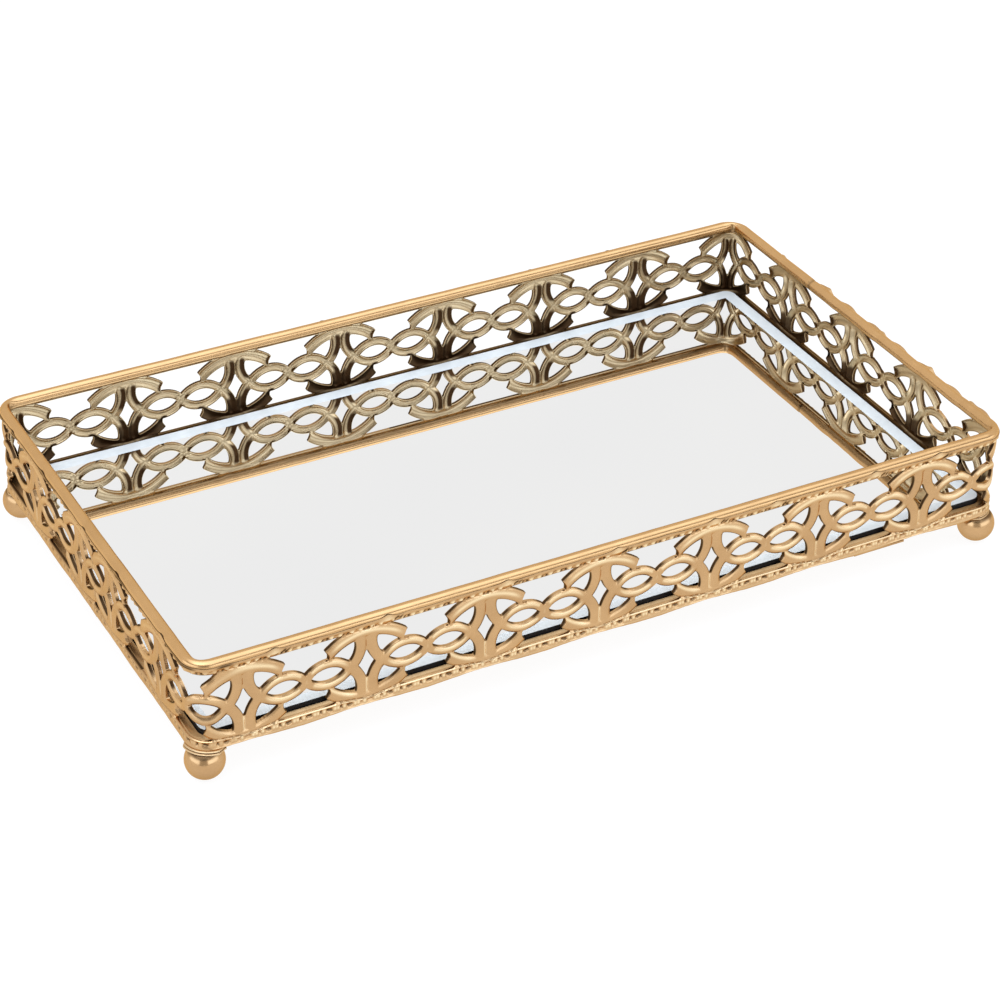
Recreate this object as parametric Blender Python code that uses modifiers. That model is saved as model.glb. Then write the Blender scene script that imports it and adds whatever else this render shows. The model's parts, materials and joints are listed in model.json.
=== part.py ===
"""Dresser vanity tray: a mirror in a pierced metal gallery on four ball feet.

The tray stands on Z = 0, long side along X, front towards -Y. Run it with
blender --background --python part.py
"""
import bisect
import math

import bmesh
import bpy

MM = 0.001

# Rail: the centre line is a rounded rectangle that every wall follows.
RIM_HALF_X = 150.0 * MM
RIM_HALF_Y = 86.5 * MM
CORNER_RADIUS = 6.5 * MM
RAIL_RADIUS = 2.08 * MM
RAIL_SIDES = 10
RAIL_Z = 44.3 * MM
CORNER_STEPS = 4

# Gallery strip, measured outwards from the rail's centre line.
STRIP_OUTER = 1.3 * MM
STRIP_THICKNESS = 1.2 * MM
STRIP_BOTTOM_Z = 12.5 * MM
STRIP_TOP_Z = 41.9 * MM
PATTERN_Z = 28.33 * MM

# One pattern repeat, about the middle of a motif.
PITCH = 42.05 * MM
EYE_X = 13.55 * MM
EYE_HALF_LENGTH = 5.75 * MM
EYE_HALF_HEIGHT = 2.55 * MM
RING_HALF_HEIGHT = 5.6 * MM
CROSSING_HALF_HEIGHT = 2.6 * MM
LOZENGE_HALF_WIDTH = 2.8 * MM
LOZENGE_HALF_HEIGHT = 5.1 * MM
CREST_TIP = (14.3 * MM, 9.15 * MM)
CREST_NOTCH = (13.2 * MM, 7.2 * MM)
CREST_ROOT_TOP = (8.6 * MM, 12.8 * MM)
CREST_ROOT_BOTTOM = (9.9 * MM, 12.1 * MM)
BORDER_RISE = 0.2 * MM
STEM_HOLE = ((4.0, 9.8), (8.0, 8.3), (11.2, 6.2), (5.85, 2.5), (3.8, 7.2))

# Where the repeats fall on each wall, and the joint between the strip's ends.
SEAM_Y = -4.2 * MM
SEAM_GAP = 0.3 * MM
CUT_SNAP = 0.25 * MM
LEFT_FRONT_MOTIF = (-1, -59.9 * MM)
FRONT_MOTIF = (0, -134.5 * MM)
RIGHT_MOTIF = (8, -36.9 * MM)
BACK_MOTIF = (12, 106.5 * MM)
LEFT_BACK_MOTIF = (19, 51.3 * MM)

# Floor of the tray, from the pan up to the glass.
GAP = 0.3 * MM
PAN_RIM_WIDTH = 2.3 * MM
PAN_BOTTOM_Z = 13.3 * MM
PAN_FLOOR_Z = 14.0 * MM
PAN_RIM_Z = 15.9 * MM
BACKING_THICKNESS = 0.6 * MM
MIRROR_BOTTOM_Z = 15.2 * MM
MIRROR_RIM_Z = 17.6 * MM
MIRROR_FLAT_Z = 17.2 * MM
MIRROR_RIM_WIDTH = 4.6 * MM
MIRROR_FLAT_CORNER = 0.6 * MM

# Ball feet and the lugs that hold them.
FOOT_X = 146.6 * MM
FOOT_Y = 82.9 * MM
FOOT_RADIUS = 6.6 * MM
FOOT_REST_RADIUS = 1.2 * MM
FOOT_TOP_Z = 11.2 * MM
STUD_RADIUS = 1.4 * MM
STUD_TOP_Z = 12.95 * MM
LUG_HOLE_RADIUS = 1.7 * MM
LUG_BOTTOM_Z = 11.5 * MM
LUG_FLANGE_Z = 12.2 * MM
LUG_TOP_Z = 13.0 * MM
LUG_REACH = 16.6 * MM
LUG_FLANGE_OUTER = 0.9 * MM
LUG_STEP_INSET = 0.8 * MM

# Straps under the long sides.
STRAP_X = 102.3 * MM
STRAP_LENGTH = 20.4 * MM
STRAP_REACH = 8.0 * MM

FOOT_SEGMENTS = 20
FOOT_PROFILE_STEPS = 8
EYE_STEPS = 3
LUG_CHAMFER_SHARE = 0.45

COLOURS = {
    "gallery_gold": ((0.62, 0.40, 0.17, 1.0), 0.30, 1.0),
    "rail_gold": ((0.70, 0.45, 0.18, 1.0), 0.26, 1.0),
    "pan_gold": ((0.55, 0.36, 0.17, 1.0), 0.38, 1.0),
    "foot_gold": ((0.64, 0.42, 0.18, 1.0), 0.24, 1.0),
    "lug_gold": ((0.38, 0.24, 0.11, 1.0), 0.45, 1.0),
    "mirror": ((0.90, 0.91, 0.93, 1.0), 0.03, 1.0),
    "backing": ((0.02, 0.02, 0.02, 1.0), 0.85, 0.0),
}


# ---------------------------------------------------------------- scene

def clear_scene():
    for item in list(bpy.data.objects):
        bpy.data.objects.remove(item, do_unlink=True)


def make_collection(name):
    collection = bpy.data.collections.new(name)
    bpy.context.scene.collection.children.link(collection)
    return collection


def make_material(name):
    colour, roughness, metallic = COLOURS[name]
    material = bpy.data.materials.new(name)
    material.use_nodes = True
    shader = material.node_tree.nodes["Principled BSDF"]
    shader.inputs["Base Color"].default_value = colour
    shader.inputs["Roughness"].default_value = roughness
    shader.inputs["Metallic"].default_value = metallic
    material.diffuse_color = colour
    return material


def add_object(name, data, material, location=(0.0, 0.0, 0.0)):
    item = bpy.data.objects.new(name, data)
    item.location = location
    item.parent = anchor
    parts.objects.link(item)
    item.data.materials.clear()
    item.data.materials.append(materials[material])
    return item


def to_mesh(curve):
    """Turn a curve into a welded mesh and drop the curve."""
    holder = bpy.data.objects.new("curve_holder", curve)
    parts.objects.link(holder)
    bpy.context.view_layer.update()
    depsgraph = bpy.context.evaluated_depsgraph_get()
    mesh = bpy.data.meshes.new_from_object(holder.evaluated_get(depsgraph))
    bpy.data.objects.remove(holder, do_unlink=True)
    bm = bmesh.new()
    bm.from_mesh(mesh)
    bmesh.ops.remove_doubles(bm, verts=bm.verts, dist=0.001 * MM)
    bm.to_mesh(mesh)
    bm.free()
    return mesh


# ---------------------------------------------------------------- the rim's path

def rounded_rectangle(offset, steps=CORNER_STEPS):
    """Points of the rail's centre line moved outwards by offset."""
    reach_x = RIM_HALF_X - CORNER_RADIUS
    reach_y = RIM_HALF_Y - CORNER_RADIUS
    radius = CORNER_RADIUS + offset
    points = []
    for quarter, (side_x, side_y) in enumerate(((1, 1), (-1, 1), (-1, -1), (1, -1))):
        for step in range(steps + 1):
            angle = math.radians(90.0 * (quarter + step / steps))
            x = side_x * reach_x + radius * math.cos(angle)
            y = side_y * reach_y + radius * math.sin(angle)
            points.append((x, y))
    return points


def rim_segments():
    """Straights and corners from the seam on the left wall, round by the front."""
    reach_x = RIM_HALF_X - CORNER_RADIUS
    reach_y = RIM_HALF_Y - CORNER_RADIUS
    arc = CORNER_RADIUS * math.pi / 2
    return (
        ("line", SEAM_Y + reach_y, (-RIM_HALF_X, SEAM_Y), (0, -1)),
        ("arc", arc, (-reach_x, -reach_y), 180.0),
        ("line", 2 * reach_x, (-reach_x, -RIM_HALF_Y), (1, 0)),
        ("arc", arc, (reach_x, -reach_y), 270.0),
        ("line", 2 * reach_y, (RIM_HALF_X, -reach_y), (0, 1)),
        ("arc", arc, (reach_x, reach_y), 0.0),
        ("line", 2 * reach_x, (reach_x, RIM_HALF_Y), (-1, 0)),
        ("arc", arc, (-reach_x, reach_y), 90.0),
        ("line", reach_y - SEAM_Y, (-RIM_HALF_X, reach_y), (0, -1)),
    )


def rim_point(station, offset):
    """Point at a distance along the path, moved outwards by offset."""
    for kind, length, start, heading in rim_segments():
        if station <= length + 0.001 * MM:
            break
        station -= length
    if kind == "line":
        x = start[0] + heading[0] * station + heading[1] * offset
        y = start[1] + heading[1] * station - heading[0] * offset
        return x, y
    facet, share = divmod(CORNER_STEPS * station / length, 1.0)
    radius = CORNER_RADIUS + offset
    ends = [math.radians(heading + 90.0 * (facet + end) / CORNER_STEPS) for end in (0, 1)]
    x = (1 - share) * math.cos(ends[0]) + share * math.cos(ends[1])
    y = (1 - share) * math.sin(ends[0]) + share * math.sin(ends[1])
    return start[0] + radius * x, start[1] + radius * y


def pattern_stations():
    """Matching lists of pattern position and path station at each straight's ends."""
    anchors = (LEFT_FRONT_MOTIF, FRONT_MOTIF, RIGHT_MOTIF, BACK_MOTIF, LEFT_BACK_MOTIF)
    straights = iter(anchors)
    positions = []
    stations = []
    run = 0.0
    for kind, length, start, heading in rim_segments():
        if kind == "line":
            count, place = next(straights)
            along = heading[0] + heading[1]
            origin = start[0] if heading[0] else start[1]
            position = count * PITCH + along * (origin - place)
            positions += [position, position + length]
            stations += [run, run + length]
        run += length
    return positions, stations


def station_at(position, positions, stations):
    """Path station of a pattern position; the corners take up the difference."""
    slot = min(max(bisect.bisect_right(positions, position), 1), len(positions) - 1)
    share = (position - positions[slot - 1]) / (positions[slot] - positions[slot - 1])
    return stations[slot - 1] + share * (stations[slot] - stations[slot - 1])


# ---------------------------------------------------------------- gallery strip

def mirrored(points, flip_x, flip_z):
    return [(x * flip_x, z * flip_z) for x, z in points]


def lens_arc(centre_x, half_length, half_height, steps):
    """Upper edge of a pointed lens, from its left tip to its right one."""
    radius = (half_length ** 2 + half_height ** 2) / (2 * half_height)
    drop = radius - half_height
    points = []
    for step in range(steps + 1):
        x = half_length * (2 * step / steps - 1)
        points.append((centre_x + x, math.sqrt(radius ** 2 - x ** 2) - drop))
    return points


def half_gap(crest_root):
    """Right half of the opening between crests, from the border to the crossing."""
    edge = PITCH / 2
    run = edge - EYE_X
    rise = RING_HALF_HEIGHT - CROSSING_HALF_HEIGHT
    radius = (run ** 2 + rise ** 2) / (2 * rise)
    middle = run / 2
    ring_z = RING_HALF_HEIGHT - radius + math.sqrt(radius ** 2 - middle ** 2)
    return [
        (edge, crest_root[1] + BORDER_RISE),
        crest_root,
        CREST_TIP,
        CREST_NOTCH,
        (CREST_NOTCH[0], RING_HALF_HEIGHT),
        (EYE_X + middle, ring_z),
        (edge, CROSSING_HALF_HEIGHT),
    ]


def cell_outline():
    """Outline of one repeat, with the openings between crests cut into its sides."""
    edge = PITCH / 2
    low = STRIP_BOTTOM_Z - PATTERN_Z
    high = STRIP_TOP_Z - PATTERN_Z
    lower = mirrored(half_gap(CREST_ROOT_BOTTOM), 1, -1)
    upper = half_gap(CREST_ROOT_TOP)[::-1]
    right = [(edge, low)] + lower + upper + [(edge, high)]
    return right + mirrored(right, -1, 1)[::-1]


def cell_holes():
    lozenge = [
        (0.0, LOZENGE_HALF_HEIGHT),
        (LOZENGE_HALF_WIDTH, 0.0),
        (0.0, -LOZENGE_HALF_HEIGHT),
        (-LOZENGE_HALF_WIDTH, 0.0),
    ]
    upper = lens_arc(EYE_X, EYE_HALF_LENGTH, EYE_HALF_HEIGHT, EYE_STEPS)
    eye = upper + mirrored(upper, 1, -1)[-2:0:-1]
    stem_hole = [(x * MM, z * MM) for x, z in STEM_HOLE]
    holes = [lozenge, eye, mirrored(eye, -1, 1)]
    for flip_x in (1, -1):
        for flip_z in (1, -1):
            holes.append(mirrored(stem_hole, flip_x, flip_z))
    return holes


def flat_cell():
    """One repeat as a flat filled sheet: X along the strip, Y up it."""
    curve = bpy.data.curves.new("cell", "CURVE")
    curve.dimensions = "2D"
    curve.fill_mode = "FRONT"
    for points in [cell_outline()] + cell_holes():
        spline = curve.splines.new("POLY")
        spline.points.add(len(points) - 1)
        spline.use_cyclic_u = True
        for point, (x, z) in zip(spline.points, points):
            point.co = (x, z, 0.0, 1.0)
    return to_mesh(curve)


def cut_across(bm, position, clear_left=False, clear_right=False):
    """Cut the flat sheet at a position, first moving near vertices onto the line."""
    for vertex in bm.verts:
        if abs(vertex.co.x - position) < CUT_SNAP:
            vertex.co.x = position
    geometry = bm.verts[:] + bm.edges[:] + bm.faces[:]
    bmesh.ops.bisect_plane(
        bm, geom=geometry, dist=0.0001 * MM,
        plane_co=(position, 0.0, 0.0), plane_no=(1.0, 0.0, 0.0),
        clear_inner=clear_left, clear_outer=clear_right,
    )


def make_gallery():
    """Repeat the cell, cut it to length, and bend it round the rim's path."""
    positions, stations = pattern_stations()
    start = positions[0] + SEAM_GAP / 2
    end = positions[-1] - SEAM_GAP / 2
    cell = flat_cell()
    bm = bmesh.new()
    for count in range(round(start / PITCH), round(end / PITCH) + 1):
        first = len(bm.verts)
        bm.from_mesh(cell)
        bm.verts.ensure_lookup_table()
        for vertex in bm.verts[first:]:
            vertex.co.x += count * PITCH
    bpy.data.meshes.remove(cell)
    bmesh.ops.remove_doubles(bm, verts=bm.verts, dist=0.005 * MM)
    cut_across(bm, start, clear_left=True)
    cut_across(bm, end, clear_right=True)
    for before, after in zip(positions[1:-1:2], positions[2::2]):
        for step in range(CORNER_STEPS + 1):
            cut_across(bm, before + (after - before) * step / CORNER_STEPS)
    middle = STRIP_OUTER - STRIP_THICKNESS / 2
    for vertex in bm.verts:
        height = vertex.co.y
        station = station_at(vertex.co.x, positions, stations)
        x, y = rim_point(station, middle)
        vertex.co = (x, y, height)
    bmesh.ops.remove_doubles(bm, verts=bm.verts, dist=0.05 * MM)
    bmesh.ops.recalc_face_normals(bm, faces=bm.faces)
    mesh = bpy.data.meshes.new("gallery_strip")
    bm.to_mesh(mesh)
    bm.free()
    strip = add_object("gallery_strip", mesh, "gallery_gold", (0.0, 0.0, PATTERN_Z))
    shell = strip.modifiers.new("thickness", "SOLIDIFY")
    shell.thickness = STRIP_THICKNESS
    shell.offset = 0.0
    return strip


# ---------------------------------------------------------------- rail and floor

def make_rail():
    curve = bpy.data.curves.new("top_rail", "CURVE")
    curve.dimensions = "3D"
    curve.fill_mode = "FULL"
    curve.bevel_depth = RAIL_RADIUS / math.cos(math.pi / RAIL_SIDES)
    curve.bevel_resolution = RAIL_SIDES // 2 - 2
    points = rounded_rectangle(0.0)
    spline = curve.splines.new("POLY")
    spline.points.add(len(points) - 1)
    spline.use_cyclic_u = True
    for point, (x, y) in zip(spline.points, points):
        point.co = (x, y, 0.0, 1.0)
    return add_object("top_rail", curve, "rail_gold", (0.0, 0.0, RAIL_Z))


def prism(outlines, thickness):
    """Mesh of a flat outline, with holes after the first, centred on its middle plane."""
    curve = bpy.data.curves.new("outline", "CURVE")
    curve.dimensions = "2D"
    curve.fill_mode = "BOTH"
    curve.extrude = thickness / 2
    for points in outlines:
        spline = curve.splines.new("POLY")
        spline.points.add(len(points) - 1)
        spline.use_cyclic_u = True
        for point, (x, y) in zip(spline.points, points):
            point.co = (x, y, 0.0, 1.0)
    return to_mesh(curve)


def make_cutter(name, mesh, location):
    cutter = bpy.data.objects.new(name, mesh)
    cutter.location = location
    cutter.hide_render = True
    cutter.display_type = "WIRE"
    cutters.objects.link(cutter)
    return cutter


def add_boolean(item, cutter, operation):
    change = item.modifiers.new(cutter.name, "BOOLEAN")
    change.operation = operation
    change.solver = "EXACT"
    change.object = cutter
    return change


def make_pan():
    """Shallow pan: a floor with an upright rim that stands round the glass."""
    height = PAN_RIM_Z - PAN_BOTTOM_Z
    outer = rounded_rectangle(STRIP_OUTER - STRIP_THICKNESS - GAP)
    pan = add_object(
        "base_pan", prism([outer], height), "pan_gold",
        (0.0, 0.0, PAN_BOTTOM_Z + height / 2),
    )
    inner = rounded_rectangle(STRIP_OUTER - STRIP_THICKNESS - GAP - PAN_RIM_WIDTH)
    depth = 2 * (PAN_RIM_Z - PAN_FLOOR_Z)
    cutter = make_cutter(
        "pan_recess", prism([inner], depth), (0.0, 0.0, PAN_FLOOR_Z + depth / 2),
    )
    add_boolean(pan, cutter, "DIFFERENCE")
    return pan


def glass_offset():
    return STRIP_OUTER - STRIP_THICKNESS - GAP - PAN_RIM_WIDTH - GAP


def make_backing():
    outline = rounded_rectangle(glass_offset())
    low = PAN_FLOOR_Z + GAP
    middle = low + BACKING_THICKNESS / 2
    return add_object(
        "backing_sheet", prism([outline], BACKING_THICKNESS), "backing", (0.0, 0.0, middle),
    )


def mirror_ring(inset, radius, z):
    """Points at height z along the glass's outline moved inwards, with its own corner radius."""
    centre_x = RIM_HALF_X + glass_offset() - inset - radius
    centre_y = RIM_HALF_Y + glass_offset() - inset - radius
    points = []
    for quarter, (side_x, side_y) in enumerate(((1, 1), (-1, 1), (-1, -1), (1, -1))):
        for step in range(CORNER_STEPS + 1):
            angle = math.radians(90.0 * (quarter + step / CORNER_STEPS))
            x = side_x * centre_x + radius * math.cos(angle)
            y = side_y * centre_y + radius * math.sin(angle)
            points.append((x, y, z))
    return points


def make_mirror():
    """Glass plate whose flat middle lies a little below its outer edge."""
    edge_radius = CORNER_RADIUS + glass_offset()
    middle = (MIRROR_BOTTOM_Z + MIRROR_RIM_Z) / 2
    bottom = mirror_ring(0.0, edge_radius, MIRROR_BOTTOM_Z - middle)
    rim = mirror_ring(0.0, edge_radius, MIRROR_RIM_Z - middle)
    flat = mirror_ring(MIRROR_RIM_WIDTH, MIRROR_FLAT_CORNER, MIRROR_FLAT_Z - middle)
    count = len(bottom)
    faces = [tuple(reversed(range(count)))]
    for level in range(2):
        start = level * count
        for index in range(count):
            ahead = (index + 1) % count
            low_a, low_b = start + index, start + ahead
            faces.append((low_a, low_b, low_b + count, low_a + count))
    faces.append(tuple(range(2 * count, len(bottom + rim + flat))))
    mesh = bpy.data.meshes.new("glass")
    mesh.from_pydata(bottom + rim + flat, [], faces)
    return add_object("mirror_glass", mesh, "mirror", (0.0, 0.0, middle))


# ---------------------------------------------------------------- feet, lugs, straps

def foot_profile():
    """Half section of a foot from its riveted stud down to its small flat rest."""
    centre = FOOT_RADIUS
    top_angle = math.asin((FOOT_TOP_Z - centre) / FOOT_RADIUS)
    rest_angle = -math.acos(FOOT_REST_RADIUS / FOOT_RADIUS)
    steps = FOOT_PROFILE_STEPS
    points = [(0.0, STUD_TOP_Z), (STUD_RADIUS, STUD_TOP_Z), (STUD_RADIUS, FOOT_TOP_Z)]
    for step in range(steps + 1):
        angle = top_angle + (rest_angle - top_angle) * step / steps
        x = FOOT_RADIUS * math.cos(angle)
        z = centre + FOOT_RADIUS * math.sin(angle)
        points.append((x, z))
    points[-1] = (FOOT_REST_RADIUS, 0.0)
    points.append((0.0, 0.0))
    return points


def make_foot(corner, side_x, side_y):
    mesh = bpy.data.meshes.new("foot_profile")
    points = foot_profile()
    edges = [(index, index + 1) for index in range(len(points) - 1)]
    mesh.from_pydata([(x, 0.0, z) for x, z in points], edges, [])
    foot = add_object(
        "foot_" + corner, mesh, "foot_gold", (side_x * FOOT_X, side_y * FOOT_Y, 0.0),
    )
    turn = foot.modifiers.new("turn", "SCREW")
    turn.axis = "Z"
    turn.steps = FOOT_SEGMENTS
    turn.render_steps = FOOT_SEGMENTS
    turn.use_merge_vertices = True
    turn.merge_threshold = 0.01 * MM
    return foot


def corner_outline(outer, reach):
    """Corner of the rim's outline, cut off straight across inside."""
    edge_x = RIM_HALF_X + STRIP_OUTER - reach
    edge_y = RIM_HALF_Y + STRIP_OUTER - reach
    arc = rounded_rectangle(outer)[:CORNER_STEPS + 1]
    width = RIM_HALF_X + outer - edge_x
    inner = LUG_CHAMFER_SHARE * width
    return arc + [
        (edge_x, RIM_HALF_Y + outer),
        (edge_x, edge_y + inner),
        (edge_x + inner, edge_y),
        (RIM_HALF_X + outer, edge_y),
    ]


def placed(points, side_x, side_y):
    """Mirror an outline into another corner, about that corner's foot."""
    moved = [((x - FOOT_X) * side_x, (y - FOOT_Y) * side_y) for x, y in points]
    return moved if side_x * side_y > 0 else moved[::-1]


def make_lug(corner, side_x, side_y):
    """Stepped lug: a flange under the strip and a thicker pad under the pan."""
    flange = placed(corner_outline(LUG_FLANGE_OUTER, LUG_REACH), side_x, side_y)
    pad_outer = STRIP_OUTER - STRIP_THICKNESS - LUG_STEP_INSET
    pad = placed(corner_outline(pad_outer, LUG_REACH - GAP), side_x, side_y)
    where = (side_x * FOOT_X, side_y * FOOT_Y)
    flange_height = LUG_FLANGE_Z - LUG_BOTTOM_Z
    lug = add_object(
        "foot_lug_" + corner, prism([flange], flange_height), "lug_gold",
        (*where, LUG_BOTTOM_Z + flange_height / 2),
    )
    pad_low = LUG_BOTTOM_Z + GAP
    pad_height = LUG_TOP_Z - pad_low
    block = make_cutter(
        "lug_pad_" + corner, prism([pad], pad_height), (*where, pad_low + pad_height / 2),
    )
    add_boolean(lug, block, "UNION")
    bm = bmesh.new()
    bmesh.ops.create_cone(
        bm, cap_ends=True, segments=FOOT_SEGMENTS,
        radius1=LUG_HOLE_RADIUS, radius2=LUG_HOLE_RADIUS, depth=FOOT_RADIUS,
    )
    drill = bpy.data.meshes.new("lug_hole")
    bm.to_mesh(drill)
    bm.free()
    hole = make_cutter("lug_hole_" + corner, drill, (*where, LUG_TOP_Z))
    add_boolean(lug, hole, "DIFFERENCE")
    return lug


def make_strap(name, side):
    """Stepped strap, extruded along X: under the strip outside, under the pan inside."""
    outer = RIM_HALF_Y + LUG_FLANGE_OUTER
    step = RIM_HALF_Y + STRIP_OUTER - STRIP_THICKNESS - LUG_STEP_INSET
    inner = outer - STRAP_REACH
    section = [
        (0.0, 0.0),
        (outer - inner, 0.0),
        (outer - inner, LUG_TOP_Z - LUG_BOTTOM_Z),
        (outer - step, LUG_TOP_Z - LUG_BOTTOM_Z),
        (outer - step, LUG_FLANGE_Z - LUG_BOTTOM_Z),
        (0.0, LUG_FLANGE_Z - LUG_BOTTOM_Z),
    ]
    strap = add_object(
        name, prism([section], STRAP_LENGTH), "lug_gold",
        (-side * STRAP_X, side * outer, LUG_BOTTOM_Z),
    )
    strap.rotation_euler = (math.radians(90.0), 0.0, -side * math.radians(90.0))
    return strap


clear_scene()
parts = make_collection("dresser_vanity_tray")
cutters = make_collection("cutters")
materials = {name: make_material(name) for name in COLOURS}
anchor = bpy.data.objects.new("tray_origin", None)
parts.objects.link(anchor)

make_rail()
make_gallery()
make_pan()
make_backing()
make_mirror()
CORNERS = (("front_left", -1, -1), ("front_right", 1, -1), ("back_left", -1, 1), ("back_right", 1, 1))
for corner, side_x, side_y in CORNERS:
    make_foot(corner, side_x, side_y)
    make_lug(corner, side_x, side_y)
make_strap("strap_front", -1)
make_strap("strap_back", 1)
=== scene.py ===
"""Looks of the dresser vanity tray: mirror floor, pierced gallery, round top rail and ball feet.

Lengths are in millimetres until make_mesh turns them into metres. A place on the gallery is p along
the pattern, w up the wall from the pattern's middle line, and an offset outwards from the rail's
centre line. Motif 0 is the front wall's first, at p = 0, and u is the distance from a motif's middle.
"""
import json
import math
from collections import namedtuple

import bpy
import numpy as np
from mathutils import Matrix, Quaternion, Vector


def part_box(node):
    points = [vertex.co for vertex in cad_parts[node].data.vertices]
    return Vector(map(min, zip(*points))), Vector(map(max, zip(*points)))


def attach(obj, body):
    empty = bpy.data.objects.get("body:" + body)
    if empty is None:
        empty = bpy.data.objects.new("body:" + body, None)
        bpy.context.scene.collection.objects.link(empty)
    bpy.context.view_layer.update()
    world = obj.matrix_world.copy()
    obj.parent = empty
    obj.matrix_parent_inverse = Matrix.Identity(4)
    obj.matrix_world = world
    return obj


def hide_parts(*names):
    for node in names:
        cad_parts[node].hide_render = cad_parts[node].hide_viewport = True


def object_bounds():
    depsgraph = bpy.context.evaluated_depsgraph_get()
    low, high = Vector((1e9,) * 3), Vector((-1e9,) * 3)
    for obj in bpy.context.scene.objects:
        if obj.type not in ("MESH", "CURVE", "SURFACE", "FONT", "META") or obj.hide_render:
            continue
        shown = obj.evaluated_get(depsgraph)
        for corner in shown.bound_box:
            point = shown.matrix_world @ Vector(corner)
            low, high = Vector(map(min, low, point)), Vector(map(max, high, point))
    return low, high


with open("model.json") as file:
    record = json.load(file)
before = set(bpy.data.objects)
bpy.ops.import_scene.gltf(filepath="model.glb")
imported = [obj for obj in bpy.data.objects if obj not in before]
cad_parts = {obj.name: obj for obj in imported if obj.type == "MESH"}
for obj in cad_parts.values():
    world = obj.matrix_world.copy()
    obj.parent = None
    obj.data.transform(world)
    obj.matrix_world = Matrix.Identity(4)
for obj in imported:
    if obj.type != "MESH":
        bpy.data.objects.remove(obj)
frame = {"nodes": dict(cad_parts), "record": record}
CAD_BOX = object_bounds()
MM = 0.001

# ---------------------------------------------------------------- sizes, in mm, from the CAD

STRIP_OUTER = 1.3  # the CAD strip's outer face, outwards from the rail's centre line
CORNER_RADIUS = 6.5
PITCH = 42.05
MIDDLE_RISE = 15.83  # from the strip's lower edge to the pattern's middle line
SEAM_Y = -4.2
SEAM_GAP = 0.12
PAN_THICKNESS = 0.7
FOOT_TOP_Z = 11.2
FOOT_REST_RADIUS = 1.2


def box_mm(node):
    low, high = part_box(node)
    return np.array(low) / MM, np.array(high) / MM


STRIP_LOW, STRIP_HIGH = box_mm("gallery_strip")
RAIL_LOW, RAIL_HIGH = box_mm("top_rail")
GLASS_LOW, GLASS_HIGH = box_mm("mirror_glass")
HALF_X = STRIP_HIGH[0] - STRIP_OUTER
HALF_Y = STRIP_HIGH[1] - STRIP_OUTER
RAIL_Z = (RAIL_LOW[2] + RAIL_HIGH[2]) / 2
RAIL_RADIUS = (RAIL_HIGH[2] - RAIL_LOW[2]) / 2
PATTERN_Z = STRIP_LOW[2] + MIDDLE_RISE
OUTER_LIMIT = CAD_BOX[1][0] / MM - HALF_X - 0.02
# The motif number and where it stands on each straight, in the order of the path.
ANCHORS = ((-1, -59.9), (0, -134.5), (8, -36.9), (12, 106.5), (19, 51.3))


# ---------------------------------------------------------------- the path round the rim

def rim_segments():
    """Straights and corners from the seam on the left wall, round by the front."""
    reach_x, reach_y = HALF_X - CORNER_RADIUS, HALF_Y - CORNER_RADIUS
    arc = CORNER_RADIUS * math.pi / 2
    return (
        ("line", SEAM_Y + reach_y, (-HALF_X, SEAM_Y), (0, -1)),
        ("arc", arc, (-reach_x, -reach_y), 180.0),
        ("line", 2 * reach_x, (-reach_x, -HALF_Y), (1, 0)),
        ("arc", arc, (reach_x, -reach_y), 270.0),
        ("line", 2 * reach_y, (HALF_X, -reach_y), (0, 1)),
        ("arc", arc, (reach_x, reach_y), 0.0),
        ("line", 2 * reach_x, (reach_x, HALF_Y), (-1, 0)),
        ("arc", arc, (-reach_x, reach_y), 90.0),
        ("line", reach_y - SEAM_Y, (-HALF_X, reach_y), (0, -1)),
    )


SEGMENTS = rim_segments()
RIM_LENGTH = sum(segment[1] for segment in SEGMENTS)


def rim_points(station, offset):
    """x and y at distances along the path, moved outwards by offset. Arrays in, arrays out."""
    s, d = np.broadcast_arrays(np.mod(np.asarray(station, float), RIM_LENGTH), offset)
    x, y = np.zeros(s.shape), np.zeros(s.shape)
    run = 0.0
    for kind, length, origin, heading in SEGMENTS:
        here = (s >= run) & (s <= run + length)
        along = s[here] - run
        if kind == "line":
            x[here] = origin[0] + heading[0] * along + heading[1] * d[here]
            y[here] = origin[1] + heading[1] * along - heading[0] * d[here]
        else:
            angle = np.radians(heading + 90.0 * along / length)
            radius = CORNER_RADIUS + d[here]
            x[here] = origin[0] + radius * np.cos(angle)
            y[here] = origin[1] + radius * np.sin(angle)
        run += length
    return x, y


def corner_stations():
    """The middle of each corner, along the path."""
    run, middles = 0.0, []
    for kind, length, _, _ in SEGMENTS:
        if kind == "arc":
            middles.append(run + length / 2)
        run += length
    return middles


def pattern_table():
    """Pattern position and path station at both ends of each straight."""
    anchors = iter(ANCHORS)
    positions, stations = [], []
    run = 0.0
    for kind, length, origin, heading in SEGMENTS:
        if kind == "line":
            count, place = next(anchors)
            start = origin[0] if heading[0] else origin[1]
            position = count * PITCH + sum(heading) * (start - place)
            positions += [position, position + length]
            stations += [run, run + length]
        run += length
    return np.array(positions), np.array(stations)


POSITIONS, STATIONS = pattern_table()


def station_at(position):
    """Path station of a pattern position; the corners take up the difference."""
    return np.interp(position, POSITIONS, STATIONS)


def front_position(x):
    """Pattern position of a place x on the front wall."""
    return x - ANCHORS[1][1]


def right_position(y):
    return ANCHORS[2][0] * PITCH + y - ANCHORS[2][1]


def back_position(x):
    return ANCHORS[3][0] * PITCH + ANCHORS[3][1] - x


def in_repeat(p):
    """Signed distance along the pattern from the nearest motif's middle."""
    return p - PITCH * np.round(p / PITCH)


# ---------------------------------------------------------------- small numeric helpers

def smooth_step(low, high, value):
    t = np.clip((value - low) / (high - low), 0.0, 1.0)
    return t * t * (3 - 2 * t)


def smooth_max(a, b, width):
    return (a + b + np.sqrt((a - b) ** 2 + width ** 2)) / 2


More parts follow.
